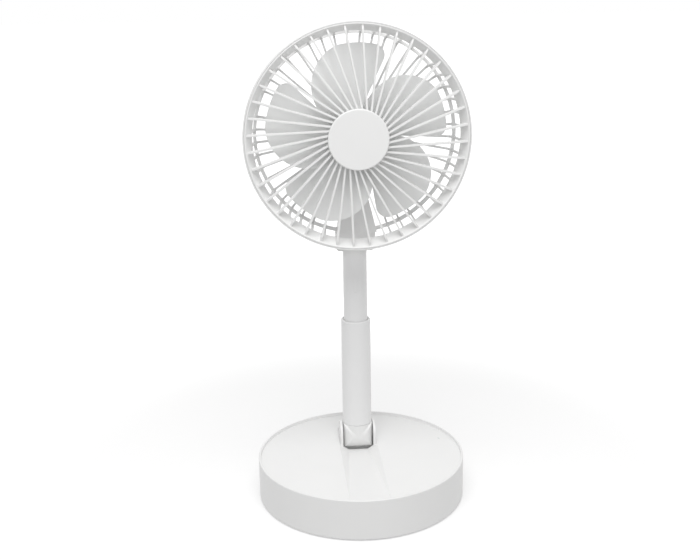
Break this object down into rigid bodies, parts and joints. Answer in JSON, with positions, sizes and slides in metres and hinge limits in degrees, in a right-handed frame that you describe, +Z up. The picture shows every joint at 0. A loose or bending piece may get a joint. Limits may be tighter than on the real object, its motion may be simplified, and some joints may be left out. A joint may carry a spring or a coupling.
{
  "type": "folding desk fan",
  "caption": "Folding desk fan: round base with a sunk top and a pole channel, telescopic pole, tilting round head with swirled spokes and a rear cage.",
  "frame": {"origin": "middle of the round base, on the surface the feet stand on", "axes": "+Z up along the pole, the fan's front faces -Y, +X to the right seen from the front"},
  "size_m": [0.184, 0.18, 0.4087],
  "materials": {
    "shell": "moulded ABS, fine satin gloss",
    "pole_plastic": "moulded ABS, satin",
    "tube": "white powder coat on aluminium tube",
    "grille": "moulded ABS, satin",
    "blade": "moulded polypropylene, satin",
    "bush": "natural acetal",
    "pin_steel": "drawn steel",
    "screw_steel": "zinc-plated steel",
    "weight_steel": "raw steel plate",
    "rubber": "soft black rubber",
    "cell_wrap": null,
    "board": "green glass-fibre board",
    "socket_metal": "nickel-plated sheet",
    "button": "moulded ABS",
    "lens": "clear diffusing plastic",
    "motor_metal": "plated steel can",
    "copper": "enamelled copper and laminations"
  },
  "bodies": {
    "base": {"base_cover": "shell", "base_plate": "shell", "rubber_feet": "rubber", "base_screws": "screw_steel", "battery_cells": "cell_wrap", "counterweight": "weight_steel", "circuit_board": "board", "board_screws": "screw_steel", "usb_socket": "socket_metal", "indicator_lens": "lens", "base_hinge_pin": "pin_steel", "base_hinge_washers": "bush"},
    "button": {"power_button": "button"},
    "lower_pole": {"pole_knuckle": "pole_plastic", "lower_tube": "tube", "guide_bush": "bush"},
    "upper_pole": {"upper_tube": "tube", "slider_plug": "bush", "pole_top_clevis": "pole_plastic", "head_hinge_pin": "pin_steel", "head_hinge_washers": "bush"},
    "head": {"rear_shell": "shell", "neck_cover": "shell", "neck_screws": "screw_steel", "motor_can": "motor_metal", "front_grille": "grille", "hub_cap": "grille"},
    "fan": {"fan_blades": "blade", "motor_shaft": "pin_steel", "motor_rotor": "copper"}
  },
  "joints": [
    {"name": "pole_fold", "type": "hinge", "parent": "base", "child": "lower_pole", "pos_m": [0, 0.033, 0.0408], "axis": [1, 0, 0], "range_deg": [0, 86]},
    {"name": "telescope", "type": "slide", "parent": "lower_pole", "child": "upper_pole", "axis": [0, 0, 1], "range_m": [-0.054, 0.0165]},
    {"name": "head_tilt", "type": "hinge", "parent": "upper_pole", "child": "head", "pos_m": [0, 0.033, 0.2223], "axis": [-1, 0, 0], "range_deg": [0, 176]},
    {"name": "fan_spin", "type": "hinge", "parent": "head", "child": "fan", "pos_m": [0, -0.016, 0.3167], "axis": [0, 1, 0], "continuous": true},
    {"name": "button_press", "type": "slide", "parent": "base", "child": "button", "axis": [-0.9461, -0.3239, 0], "range_m": [0, 0.0008], "stiffness_N_per_m": 1500, "springref_m": -0.0004}
  ]
}
